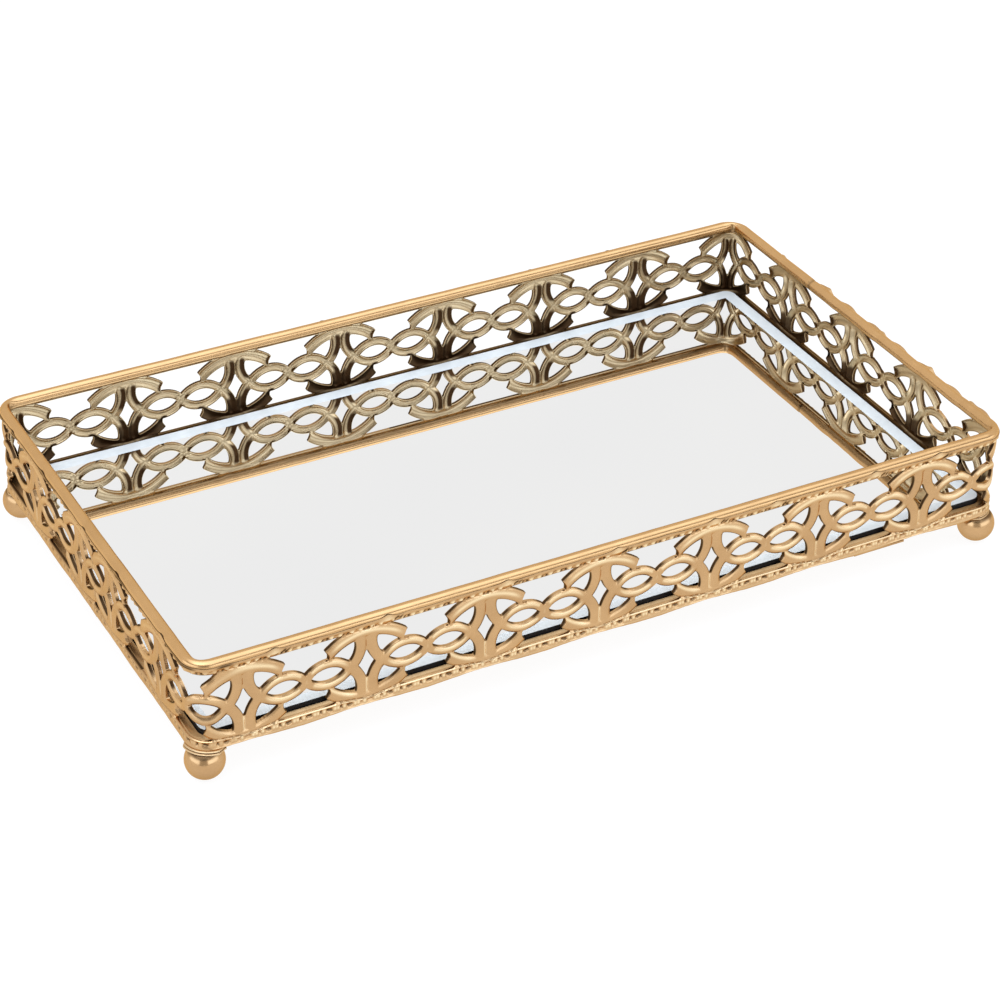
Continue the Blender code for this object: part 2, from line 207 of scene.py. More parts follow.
def bell(value, centre, width):
    return np.exp(-((value - centre) / width) ** 2)


def wander(p, seed, length=30.0):
    """Slow irregular wave between about -1 and 1 along the wall."""
    total = 0.0
    for octave in range(1, 5):
        turn = seed * 1.7 * octave + 0.6 * octave ** 2
        total = total + np.sin(2 * math.pi * p * octave * 0.83 / length + turn) / octave
    return total / 1.6


# ---------------------------------------------------------------- the pattern's openings

# Arcs that the strands follow: a centre, the radius of the strand's middle and half of its width.
# The lower half of the pattern mirrors the upper one, so "across" counts away from the middle line.
Arc = namedtuple("Arc", "along across radius half_width")
RING = Arc(13.55, -5.2, 9.29, 1.53)
STEM = Arc(12.1, 8.0, 10.25, 1.85)
CREST = Arc(0.0, -7.0, 19.45, 2.15)
LOZENGE_REACH = 5.3
TOP_BORDER, LOW_BORDER = 13.15, 11.85  # the borders' inner edges, from the middle line
CREST_TIP = (13.2, 7.2)
TIP_SLANT, TIP_COSINE = 0.564, 0.87  # how its lower edge leans


def from_centre(arc, u, w):
    return np.hypot(u - arc.along, np.abs(w) - arc.across)


def past_near_edge(arc, u, w):
    return from_centre(arc, u, w) - (arc.radius - arc.half_width)


def before_far_edge(arc, u, w):
    return arc.radius + arc.half_width - from_centre(arc, u, w)


def across_strand(arc, u, w):
    """-1 on the strand's edge near the arc's centre, 0 on its middle line, 1 on its far edge."""
    return (from_centre(arc, u, w) - arc.radius) / arc.half_width


def metal_depth(u, w):
    """Distance into the metal from the nearest opening's edge; below zero in an opening."""
    a = np.abs(w)
    eye = past_near_edge(RING, u, w)
    window = smooth_max(before_far_edge(RING, u, w), past_near_edge(STEM, u, w), 0.45)
    window = smooth_max(window, past_near_edge(CREST, u, w), 0.45)
    lozenge = smooth_max(before_far_edge(STEM, u, w), a - LOZENGE_REACH, 0.35)
    slant = (CREST_TIP[0] + (a - CREST_TIP[1]) * TIP_SLANT - u) * TIP_COSINE
    inside_crest = np.minimum(before_far_edge(CREST, u, w), np.maximum(CREST_TIP[0] - u, slant))
    border = np.where(w > 0, TOP_BORDER, LOW_BORDER)
    gap = smooth_max(np.maximum(a - border, before_far_edge(RING, u, w)), inside_crest, 0.12)
    return np.minimum(np.minimum(eye, window), np.minimum(lozenge, gap))


def strands(u, w):
    """How near each point is to the middle of a strand: 1 on the middle line, 0 at its edges."""
    a = np.abs(w)
    ring, stem, crest = (np.clip(1 - across_strand(arc, u, w) ** 2, 0, 1) for arc in (RING, STEM, CREST))
    return ring, stem * smooth_step(12.4, 10.2, a), crest * smooth_step(15.5, 13.8, u)


# ---------------------------------------------------------------- gallery relief

# Every relief function returns an outer offset, a painted shade and a painted highlight, which is a pale
# tone.
STRAND_BASE = 0.90
BOSSES = [front_position(x) for x in (-124.0, -85.4, -43.2, -2.9, 33.6, 57.5, 97.0, 123.0)]
BOSSES += [right_position(y) for y in (-66.0, -41.0, -12.0, 24.0, 55.0)]
BOSSES += [PITCH * n for n in (12.3, 13.1, 14.2, 15.15, 16.3, 17.2, 18.6, 19.3, 20.2, -1.75, -0.85)]
BEAD_STEP = PITCH / 6
TOP_HEIGHTS = (12.6, 13.2, 13.6, 14.3, 15.0, 15.8, 16.2, 16.6)
TOP_OFFSETS = (1.15, 1.28, 1.45, 1.62, 1.98, 2.24, 2.20, 1.95)
LOW_HEIGHTS = (-16.2, -15.7, -15.0, -14.3, -13.5, -12.9, -12.4, -11.5)
LOW_OFFSETS = (1.05, 1.55, 1.86, 1.60, 1.36, 1.40, 1.44, 1.30)


def boss_share(p):
    """1 on the top border's smooth bosses, 0 between them."""
    return np.clip(sum(bell(p, place, 1.9) for place in BOSSES), 0, 1)


def right_share(p):
    """1 on the stretch of the right wall whose top edge is beaten into waves."""
    start = smooth_step(right_position(-82.0), right_position(-76.0), p)
    return start * smooth_step(right_position(44.0), right_position(30.0), p)


def right_wave(p):
    return right_share(p) * (0.5 + 0.5 * np.sin(2 * math.pi * p / 16.5))


def left_share(p):
    """1 on the left wall, at both ends of the pattern."""
    return smooth_step(2.0, -6.0, p) + (p > 17.6 * PITCH)


def in_bead_step(p, start):
    """Place within a step of a bead row, between half a step before start and half a step after."""
    return np.mod(p - start + BEAD_STEP / 2, BEAD_STEP) - BEAD_STEP / 2


def motif_relief(signed, w):
    """Convex strands: every band swells towards its middle, and the stems meet in a groove."""
    u = np.abs(signed)
    ring, stem, crest = strands(u, w)
    full_ring, full_stem, full_crest = (1 - (1 - strand) ** 1.2 for strand in (ring, stem, crest))
    swell = smooth_max(smooth_max(full_ring, 0.85 * full_stem, 0.08), full_crest, 0.08)
    crease = bell(signed, -0.30, 0.32) * smooth_step(4.8, 5.6, -w) * smooth_step(-11.2, -9.8, w)

    at_crest = from_centre(CREST, u, w)
    high_side = bell(at_crest, 19.75, 0.60) * smooth_step(13.5, 9.0, u) * (w > 0)
    low_side = bell(at_crest, 18.15, 0.40) * smooth_step(3.0, 7.0, -signed) * (w < 0)
    low_side = low_side * smooth_step(13.8, 12.5, u)
    ring_up = (from_centre(RING, u, w) - RING.radius) * np.sign(w)
    on_ring = smooth_step(0.0, 0.2, ring) * (1 - smooth_step(0.2, 0.7, stem)) * smooth_step(6.0, 9.0, u)
    # Painted shade on the rings' lower sides; painted highlight along the crests' edges, the crease and the
    # rings' upper sides.
    dark = 0.22 * bell(ring_up, -1.15, 0.34) * on_ring
    painted_highlight = 0.95 * high_side + 0.95 * low_side + 1.2 * crease + 0.90 * bell(ring_up, 0.50, 0.42) * on_ring
    return STRAND_BASE + 0.72 * swell + 0.16 * crease, dark, painted_highlight


def top_relief(p, u, w):
    """Top border: leans out over the rail's lower half, with a row of beads and smooth bosses."""
    boss = boss_share(p)
    step = in_bead_step(p, 0.65)
    open_row = smooth_step(0.7, 0.2, boss)
    bead = (bell(step, 1.15, 0.72) + 0.9 * bell(step, -2.9, 0.72)) * bell(w, 14.25, 0.60) * open_row
    pit = (bell(step, -0.1, 0.38) + 0.8 * bell(step, -1.7, 0.34)) * bell(w, 14.0, 0.42) * open_row
    scar, crimp = 0.0, 0.0
    for place in BOSSES:
        slant = p - place - 0.5 * (w - 14.6)
        scar = scar + (bell(slant, 2.9, 0.55) + 0.7 * bell(slant, 4.4, 0.40)) * bell(w, 14.9, 0.85)
        crimp = crimp + bell(p, place - 5.0, 1.9) * bell(w, 14.1 + 0.2 * np.sin(2.6 * p), 0.30)
    crimp = crimp * (0.5 + 0.5 * np.sin(2 * math.pi * p / 1.15))

    offset = np.interp(w, TOP_HEIGHTS, TOP_OFFSETS) + 0.42 * boss * bell(w, 15.1, 1.3)
    offset = offset + 0.09 * wander(p, 5.0, 11.0) * bell(w, 15.0, 1.2)
    offset = offset + 0.95 * right_wave(p) * bell(w, 15.9, 1.5)
    offset = offset + 0.62 * bead - 0.40 * pit - 0.40 * scar - 0.3 * crimp
    offset = offset - 0.22 * bell(w, 13.5, 0.22) * smooth_step(10.0, 8.0, u)
    # Painted shade in the pits, scars, crimps and the groove where the border meets the crest; painted
    # highlight on the beads and bosses.
    dark = 1.3 * pit + 1.5 * scar + 1.2 * crimp + 0.20 * bell(w, 13.5, 0.25)
    return offset, dark, 1.5 * bead + 0.8 * boss * bell(w, 15.2, 0.9)


def ridge_height(u):
    """Height of the low border's wavy ridge, and how far it swells down under a motif."""
    swell = 0.5 + 0.5 * np.cos(np.pi * np.clip(u / 11.0, 0, 1))
    return -12.15 - 1.05 * swell, swell


def low_relief(p, u, w):
    """Bottom border: wavy ridge, groove, row of pits and dashes, rolled lip."""
    ridge_w, swell = ridge_height(u)
    pit_w = -13.45 - 0.35 * swell
    strength = (1 - 0.8 * swell) * (1 - 0.45 * smooth_step(front_position(60.0), front_position(85.0), p))
    step = in_bead_step(p, 4.66)
    pit = bell(step, 0.0, 0.34) * bell(w, pit_w, 0.42)
    run = smooth_step(1.12, 0.72, np.abs(step - 2.93)) + smooth_step(1.12, 0.72, np.abs(step + 4.078))
    dash = np.clip(run, 0, 1) * bell(w, pit_w + 0.14 * np.sin(p * 2.1), 0.32)
    bead = (bell(np.abs(step), 1.05, 0.46) + bell(step, -2.2, 0.42)) * bell(w, pit_w + 0.1, 0.55)
    groove = bell(w, ridge_w + 0.66, 0.24) * smooth_step(13.0, 10.0, u)

    offset = np.interp(w, LOW_HEIGHTS, LOW_OFFSETS) + 0.30 * bell(w, ridge_w, 0.32)
    offset = offset - strength * (0.55 * pit + 0.55 * dash) + (0.12 + 0.26 * strength) * bead
    offset = offset + 0.06 * wander(p, 6.0, 8.0) * bell(w, -14.4, 0.8) - 0.40 * groove
    # Painted shade in the pits, dashes and groove; painted highlight on the ridge, the beads and the lip.
    dark = 1.1 * strength * (pit + dash) + 0.55 * groove
    return offset, dark, 0.65 * bell(w, ridge_w, 0.26) + 1.2 * bead + 0.30 * bell(w, -15.0, 0.3)


def wall_height(p, w):
    """Height above the middle line, with both edges' waves and the sag near the front-left corner."""
    low_edge = -15.80 + 0.36 * np.cos(2 * math.pi * (in_repeat(p) + 2) / PITCH) + 0.06 * wander(p, 3.0, 9.0)
    high_edge = 16.45 + 0.9 * boss_share(p) + 0.70 * right_wave(p) + 0.25 * wander(p, 6.0, 26.0)
    sag = 0.8 * bell(p, -5.0, 13.0) * smooth_step(13.4, 11.5, w) * smooth_step(-12.5, -9.5, w)
    height = w - sag + (low_edge + 15.9) * smooth_step(-14.6, -15.9, w)
    return height + (high_edge - 16.6) * smooth_step(15.2, 16.6, w)


def gallery_fields(p, w):
    """Height up the wall, outer and inner offsets, and tone: painted shade above 0, painted highlight
    below.
    """
    signed = in_repeat(p)
    u = np.abs(signed)
    boss = boss_share(p)
    on_left = left_share(p)
    motif, motif_dark, motif_highlight = motif_relief(signed, w)
    top, top_dark, top_highlight = top_relief(p, u, w)
    low, low_dark, low_highlight = low_relief(p, u, w)
    to_top = smooth_step(13.05, 13.6, w)
    to_low = smooth_step(0.75, 0.05, w - (ridge_height(u)[0] + 0.35))
    border = np.clip(to_top + to_low, 0, 1)

    # Outside: the relief falls off in a dome at the borders' openings, and its top lies on the rail.
    relief = motif * (1 - to_top) * (1 - to_low) + top * to_top + low * to_low
    reach = 0.75 * (1 - border) + 0.5 * border
    dome = np.where(border > 0, 1 - (1 - np.clip(metal_depth(u, w) / reach, 0, 1)) ** 2, 1)
    outer = STRAND_BASE + (relief - STRAND_BASE) * dome + 0.03 * wander(p + 3 * w, 1.0, 23.0)
    height = wall_height(p, w)
    over = np.sqrt(np.clip(RAIL_RADIUS ** 2 - (PATTERN_Z + height - RAIL_Z) ** 2, 0.0, None))
    hug = over + 0.20 - 0.22 * smooth_step(15.9, 16.6, w) + 0.12 * boss
    outer = np.minimum(np.where(w > 14.9, np.maximum(outer, hug), outer), OUTER_LIMIT)

    # Inside: every strand is hollow.
    ring, stem, crest = strands(u, w)
    hollow = smooth_max(smooth_max(ring, stem, 0.06), crest, 0.06)
    inner = (1.07 * hollow - 0.35) * (1 - border) + 0.10 * border

    # Painted shade from the reliefs, along the top edge where it meets the rail and in slits under the rail
    # on the left wall; less painted highlight on the left wall.
    dark = motif_dark + top_dark * to_top + low_dark * to_low
    dark = dark + 0.9 * smooth_step(16.15, 16.5, w) * (1 - boss) * (1 - right_share(p))
    dark = dark + on_left * smooth_step(0.1, 0.5, wander(p, 2.0, 41.0)) * bell(w, 15.75, 0.42)
    painted_highlight = motif_highlight + top_highlight * to_top + low_highlight * to_low
    painted_highlight = painted_highlight * (1 - 0.75 * np.clip(on_left, 0, 1))
    tone = np.clip(dark - painted_highlight * np.clip(1 - 1.5 * dark, 0, 1), -1, 1)
    return height, outer, inner, tone


# ---------------------------------------------------------------- gallery mesh

COLUMNS_PER_REPEAT = 138
CUT_REPEATS = (2, 6, 10, 14, 18)  # where the strip is cut into lengths
RIM_WIDTH = 0.34
EDGE = 1.00  # where the outer face ends at an opening
BACK = -0.20  # where the strands' folded edges end, towards the inside
BORDER_BACK = 0.06  # the same along the low border
# Marching squares: the polygons of a grid cell by the sum of its corners with metal, 1 2 4 8. Corners
# c0 to c3 go round from the low left one, and e0 to e3 are the crossings on the edges after them.
CASES = {
    1: (("c0", "e0", "e3"),), 2: (("e0", "c1", "e1"),), 3: (("c0", "c1", "e1", "e3"),),
    4: (("e1", "c2", "e2"),), 5: (("c0", "e0", "e3"), ("e1", "c2", "e2")),
    6: (("e0", "c1", "c2", "e2"),), 7: (("c0", "c1", "c2", "e2"), ("c0", "e2", "e3")),
    8: (("e2", "c3", "e3"),), 9: (("c0", "e0", "e2", "c3"),),
    10: (("e0", "c1", "e1"), ("e2", "c3", "e3")),
    11: (("c0", "c1", "e1", "e2"), ("c0", "e2", "c3")), 12: (("e1", "c2", "c3", "e3"),),
    13: (("c0", "e0", "e1", "c2"), ("c0", "c2", "c3")),
    14: (("e0", "c1", "c2", "c3"), ("e0", "c3", "e3")), 15: (("c0", "c1", "c2", "c3"),),
}


def strip(*corners):
    """Faces, one for each row, from their corners' numbers in order."""
    return np.stack(corners, 1)


def wall_rows():
    """Rows up the wall, closer together on the borders."""
    low = -15.90 + 0.310 * np.arange(13)
    middle = -11.95 + 0.430 * np.arange(58)
    high = 12.95 + 0.305 * np.arange(12)
    return np.concatenate([low, middle, high])


def gallery_columns(start, end):
    """Columns of one length, on a step that always has one on each motif's middle."""
    step = PITCH / COLUMNS_PER_REPEAT
    between = np.arange(math.ceil(start / step + 0.2), math.floor(end / step - 0.2) + 1) * step
    return np.concatenate([[start], between, [end]])


def outline_mesh(columns, rows):
    """Places, triangles and quads of a grid where there is metal, cut at the openings' edges."""
    p, w = np.meshgrid(columns, rows, indexing="ij")
    value = metal_depth(np.abs(in_repeat(p)), w)
    inside = value > 0
    nodes = np.arange(p.size).reshape(p.shape)
    points = [np.stack([p.ravel(), w.ravel()], 1)]
    count = p.size

    def crossings(first, second, a, b):
        nonlocal count
        span = np.where(np.abs(first - second) < 1e-9, 1.0, first - second)
        t = np.clip(first / span, 0.12, 0.88)[..., None]
        points.append((a + (b - a) * t).reshape(-1, 2))
        ids = count + np.arange(first.size).reshape(first.shape)
        count += first.size
        return ids

    place = np.stack([p, w], -1)
    along = crossings(value[:-1], value[1:], place[:-1], place[1:])
    up = crossings(value[:, :-1], value[:, 1:], place[:, :-1], place[:, 1:])
    ids = {
        "c0": nodes[:-1, :-1], "c1": nodes[1:, :-1], "c2": nodes[1:, 1:], "c3": nodes[:-1, 1:],
        "e0": along[:, :-1], "e1": up[1:], "e2": along[:, 1:], "e3": up[:-1],
    }
    code = (inside[:-1, :-1] * 1 + inside[1:, :-1] * 2 + inside[1:, 1:] * 4 + inside[:-1, 1:] * 8)
    polygons = {3: [], 4: []}
    for number, shapes in CASES.items():
        here = code == number
        for shape in shapes:
            polygons[len(shape)].append(strip(*(ids[name][here] for name in shape)))
    triangles, quads = np.concatenate(polygons[3]), np.concatenate(polygons[4])
    used, packed = np.unique(np.concatenate([triangles.ravel(), quads.ravel()]), return_inverse=True)
    triangles, quads = packed[:triangles.size].reshape(-1, 3), packed[triangles.size:].reshape(-1, 4)
    return np.concatenate(points)[used], triangles, quads


def boundary_edges(*face_sets):
    """Edges that only one face has, in that face's direction."""
    edges = np.concatenate([
        strip(faces[:, k], np.roll(faces, -1, axis=1)[:, k])
        for faces in face_sets for k in range(faces.shape[1])
    ])
    key = np.sort(edges, axis=1)
    code = key[:, 0] * (edges.max() + 1) + key[:, 1]
    _, first, count = np.unique(code, return_index=True, return_counts=True)
    return edges[first[count == 1]]


def make_mesh(name, points, face_groups, materials, attributes=None, sharp=50.0):
    """A smooth-shaded mesh from numpy arrays; face_groups holds (faces, material number) pairs."""
    loops = np.concatenate([faces.ravel() for faces, _ in face_groups]).astype(np.int32)
    totals = np.concatenate([np.full(len(f), f.shape[1], np.int32) for f, _ in face_groups])
    slots = np.concatenate([np.full(len(f), m, np.int32) for f, m in face_groups])
    mesh = bpy.data.meshes.new(name)
    mesh.vertices.add(len(points))
    mesh.vertices.foreach_set("co", (np.asarray(points) * MM).astype(np.float32).ravel())
    mesh.loops.add(len(loops))
    mesh.loops.foreach_set("vertex_index", loops)
    mesh.polygons.add(len(totals))
    starts = np.concatenate([[0], np.cumsum(totals)[:-1]]).astype(np.int32)
    mesh.polygons.foreach_set("loop_start", starts)
    mesh.polygons.foreach_set("material_index", slots)
    mesh.update(calc_edges=True)
    mesh.validate()
    mesh.polygons.foreach_set("use_smooth", np.ones(len(mesh.polygons), bool))
    mesh.set_sharp_from_angle(angle=math.radians(sharp))
    for title, values in (attributes or {}).items():
        layer = mesh.attributes.new(title, "FLOAT", "POINT")
        layer.data.foreach_set("value", np.asarray(values, np.float32))
    for material in materials:
        mesh.materials.append(material)
    piece = bpy.data.objects.new(name, mesh)
    bpy.context.scene.collection.objects.link(piece)
    return piece


def settle(piece, slot, *nodes):
    """Ride on the one body and hide the CAD nodes that the piece stands for; slot is not used."""
    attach(piece, "root")
    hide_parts(*nodes)


def drawn_in(p, w):
    """Places moved into the metal by a rim's width, which ones moved, and which way each edge faces."""
    def depth_at(a, b):
        return metal_depth(np.abs(in_repeat(a)), b)

    step = 0.03
    slope_p = depth_at(p + step, w) - depth_at(p - step, w)
    slope_w = depth_at(p, w + step) - depth_at(p, w - step)
    length = np.hypot(slope_p, slope_w) + 1e-9
    slope_p, slope_w = slope_p / length, slope_w / length
    move = np.clip(RIM_WIDTH - 0.5 * depth_at(p, w), 0, None)
    return p + move * slope_p, w + move * slope_w, move > 0.01, -slope_p, -slope_w


def shadow_side(p, w):
    """Share of shadow on the side of each hollow stem that turns from the light."""
    signed = in_repeat(p)
    u, a = np.abs(signed), np.abs(w)
    across = across_strand(STEM, u, w) * np.sign(signed)
    along = smooth_step(1.2, 3.0, a) * smooth_step(11.2, 10.0, a) * smooth_step(6.2, 5.2, u)
    return along * smooth_step(0.04, 0.26, across) * smooth_step(1.0, 0.88, across)


def inside_tone(p, w, p_in, w_in):
    """Painted shade on the inner side: on the low crests, at the feet of the stems, on the stems' shadow
    sides and on the low border.
    """
    u = np.abs(in_repeat(p))
    above_border = smooth_step(-12.0, -11.5, w)
    start_low = -6.2 + 2.4 * smooth_step(6.0, 3.0, u)
    feet = smooth_step(0.0, -2.0, w - start_low) * above_border
    low_crest = smooth_step(0.0, 0.25, strands(u, w)[2]) * smooth_step(-4.6, -5.4, w) * above_border
    gloom = np.maximum(feet, low_crest) * (0.94 + 0.06 * wander(p, 7.0, 13.0))
    return np.clip(gloom + shadow_side(p_in, w_in), 0, 1) + 0.65 * smooth_step(-11.4, -12.0, w)


def cut_tone(p, facing_p, facing_w):
    """Cut edges get painted shade, left off where they look up in front or forwards on the left wall."""
    before, after = (np.stack(rim_points(station_at(p + shift), 1.0), 1) for shift in (-0.1, 0.1))
    along = after - before
    along /= np.linalg.norm(along, axis=1, keepdims=True) + 1e-12
    upward = smooth_step(0.84, 0.96, facing_w) * (before[:, 1] < -HALF_Y / 2)
    forward = smooth_step(0.30, 0.55, -0.9 * facing_p * along[:, 1] - 0.45 * facing_w) * (before[:, 0] < 0)
    return 0.95 - 0.90 * np.clip(upward + forward, 0, 1)


def gallery_length(name, start, end, seams, materials):
    """One length of the strip: outer and inner faces, joined by a folded edge round each opening."""
    flat, triangles, quads = outline_mesh(gallery_columns(start, end), wall_rows())
    p, w = flat[:, 0], flat[:, 1]
    height = wall_height(p, w)
    p_in, w_in, moved, facing_p, facing_w = drawn_in(p, w)
    height_in, outer, inner, tone = gallery_fields(p_in, w_in)

    edges = boundary_edges(triangles, quads)
    on_seam = np.zeros(len(edges), bool)
    for cut in seams:
        on_seam |= (np.abs(p[edges] - cut) < 1e-6).all(axis=1)
    edges = edges[~on_seam]
    rim, packed = np.unique(edges, return_inverse=True)
    packed = packed.reshape(edges.shape)
    back = np.where(w[rim] > -11.6, BACK, BORDER_BACK)
    back = np.where(moved[rim], back, inner[rim])

    # Both faces have count points. The edge between them has four layers of around points each: the
    # fold's corner, its lip, its outer root and the end of the outer face.
    count, around = len(flat), len(rim)
    layers = (
        (p_in, outer, height_in),
        (p_in, inner, height_in),
        (p[rim], back + 0.06, height[rim]),
        ((2 * p_in[rim] + p[rim]) / 3, back, (2 * height_in[rim] + height[rim]) / 3),
        (p[rim], back + 0.30, height[rim]),
        (p[rim], EDGE, height[rim]),
    )
    points = []
    for place, offset, up in layers:
        x, y = rim_points(station_at(place), offset)
        points.append(np.stack([x, y, PATTERN_Z + up], 1))
    points = np.concatenate(points)
    a, b = edges.T
    (corner_a, corner_b), (lip_a, lip_b), (root_a, root_b), (end_a, end_b) = (
        (2 * count + layer * around + packed).T for layer in range(4)
    )

    folded = moved[a] | moved[b]
    thin_cut = strip(b, a, a + count, b + count)
    cut_face = np.where(folded[:, None], strip(end_b, end_a, root_a, root_b), thin_cut)
    right_top = ~folded & (w[a] > 16.0) & (points[a][:, 0] > HALF_X - 2)
    gold = folded | right_top
    # Thin cut faces take the near-black cut-edge material and the fold's hollow side the dark brown one,
    # both painted shade; folded cut faces and the right wall's top edge keep the gold.
    groups = [
        (triangles, 0), (quads, 0),
        (triangles[:, ::-1] + count, 1), (quads[:, ::-1] + count, 1),
        (cut_face[gold], 0), (cut_face[~gold], 2),
        (strip(corner_b, corner_a, lip_a, lip_b)[folded], 1),
        (strip(lip_b, lip_a, a + count, b + count)[folded], 3),
        (strip(root_b, root_a, corner_a, corner_b)[folded], 0),
        (strip(b, a, end_a, end_b)[folded], 0),
    ]
    inside = inside_tone(p, w, p_in, w_in)
    cut = cut_tone(p[rim], facing_p[rim], facing_w[rim])
    # Painted shade on the inner face, part of it on the fold's corner and lip with a faint painted
    # highlight there, and painted shade on the cut faces.
    shade = np.concatenate([tone, inside, 0.45 * inside[rim] - 0.15, 0.55 * inside[rim] - 0.10, cut, cut])
    return make_mesh(name, points, groups, materials, {"shade": shade}, 42.0)


def make_gallery(materials):
    """The pierced strip, in lengths that are each small enough to be exported whole."""
    first, last = POSITIONS[0] + SEAM_GAP / 2, POSITIONS[-1] - SEAM_GAP / 2
    cuts = [first] + [repeat * PITCH for repeat in CUT_REPEATS] + [last]
    for number, (start, end) in enumerate(zip(cuts, cuts[1:]), 1):
        seams = [cut for cut in (start, end) if cut not in (first, last)]
        piece = gallery_length(f"gallery_{number}", start, end, seams, materials)
        settle(piece, "gallery_gold", "gallery_strip")


# ---------------------------------------------------------------- top rail

RAIL_STEPS, RAIL_SIDES = 1200, 44


def make_rail(material):
    """Round rod with hand-finished unevenness, its soldered joint, and tight inner corners."""
    station = np.arange(RAIL_STEPS) * RIM_LENGTH / RAIL_STEPS
    angle = np.arange(RAIL_SIDES) * 2 * math.pi / RAIL_SIDES
    s, turn = np.meshgrid(station, angle, indexing="ij")
    outwards, upwards = np.cos(turn), np.sin(turn)
    joint = station_at(right_position(31.8))
    knot = station_at(back_position(-66.4))
    corner_in = station_at(right_position(-HALF_Y + CORNER_RADIUS))
    lowered = smooth_step(corner_in - 3, corner_in + 6, s) * (s < joint)
    pinch = sum(bell(s, place, 2.2) for place in corner_stations())

    radius = RAIL_RADIUS - 0.03 - 0.03 * np.abs(wander(s, 4.0, 37.0)) - 0.16 * bell(s, joint, 0.7)
    offset = radius * outwards + 0.05 * wander(s, 8.0, 45.0) + 0.16 * lowered * wander(s, 2.5, 21.0)
    offset = offset + 1.2 * pinch * np.clip(-outwards, 0, 1) ** 1.5
    z = RAIL_Z + radius * upwards - 0.10 * lowered - 0.03 - 0.03 * wander(s, 1.0, 55.0)
    z = np.minimum(z, RAIL_Z + RAIL_RADIUS) - 0.35 * bell(s, knot, 2.2) * np.clip(-upwards, 0, 1)
    x, y = rim_points(s, offset)
    index = np.arange(RAIL_STEPS * RAIL_SIDES).reshape(RAIL_STEPS, RAIL_SIDES)
    ahead = np.roll(index, -1, axis=0)
    faces = np.stack([index, ahead, np.roll(ahead, -1, axis=1), np.roll(index, -1, axis=1)], -1)

    # Painted shade on the lower inner side and round the tight inner corners; the joint itself is darker
    # solder.
    under = 0.16 * smooth_step(0.30, -0.30, upwards) + 0.40 * smooth_step(-0.3, -0.7, upwards)
    shade = 0.75 * bell(s, joint, 0.5) + 0.25 * pinch * np.clip(-outwards, 0, 1)
    shade = np.clip(shade + under * smooth_step(-0.1, -0.5, outwards), 0, 1)
    points = np.stack([x, y, z], -1).reshape(-1, 3)
    groups = [(faces.reshape(-1, 4)[:, ::-1], 0)]
    piece = make_mesh("rail", points, groups, [material], {"shade": shade.ravel()}, 60.0)
    settle(piece, "rail_gold", "top_rail")


# ---------------------------------------------------------------- mirror

def glass_outline(inset, steps=10):
    """Outline of the glass, moved inwards by inset."""
    half_x, half_y = GLASS_HIGH[0] - inset, GLASS_HIGH[1] - inset
    radius = max(CORNER_RADIUS - (HALF_X - GLASS_HIGH[0]) - inset, 0.5)
    points = []
    for quarter, (side_x, side_y) in enumerate(((1, 1), (-1, 1), (-1, -1), (1, -1))):
        for step in range(steps + 1):
            angle = math.radians(90.0 * (quarter + step / steps))
            points.append((
                side_x * (half_x - radius) + radius * math.cos(angle),
                side_y * (half_y - radius) + radius * math.sin(angle),
            ))
    return np.array(points)


def glass_flat_z():
    """Height of the glass's flat middle, from the record's mount on it."""
    mounts = frame["record"]["mounts"]
    return next(m for m in mounts if m["name"] == "mirror_top")["pos_m"][2] / MM


def ring_quads(low, high, index, ahead):
    """Faces between two closed rings of points, from the numbers of their first points."""
    return strip(index + low, ahead + low, ahead + high, index + high)


def make_mirror(silver, bevel, edge):
    """Silvered plate: flat middle, pale ground border round it, dark upright edge."""
    high = GLASS_HIGH[2]
    flat = glass_flat_z()
    edge_levels = ((0.0, GLASS_LOW[2]), (0.0, high - 0.12), (0.10, high))
    bevel_levels = ((0.30, high), (4.55, flat + 0.03), (4.65, flat))
    rings = []
    for inset, z in edge_levels + bevel_levels:
        outline = glass_outline(inset)
        rings.append(np.column_stack([outline, np.full(len(outline), z)]))
    count = len(rings[0])
    index = np.arange(count)
    ahead = np.roll(index, -1)
    groups = []
    for level, material in enumerate((2, 2, 1, 1, 1)):
        groups.append((ring_quads(level * count, (level + 1) * count, index, ahead), material))
    groups.append(((index + (len(rings) - 1) * count)[None, :], 0))
    groups.append((index[::-1][None, :], 2))
    piece = make_mesh("mirror", np.concatenate(rings), groups, [silver, bevel, edge], None, 4.0)
    settle(piece, "mirror", "mirror_glass")


# ---------------------------------------------------------------- pan

def pan_stations():
    """Places along the path: every 6 mm or so on the straights, and closer on the corners."""
    stations, run = [], 0.0
    for kind, length, _, _ in SEGMENTS:
        parts = 12 if kind == "arc" else max(2, round(length / 6))
        stations += [run + length * k / parts for k in range(parts)]
        run += length
    return np.array(stations)


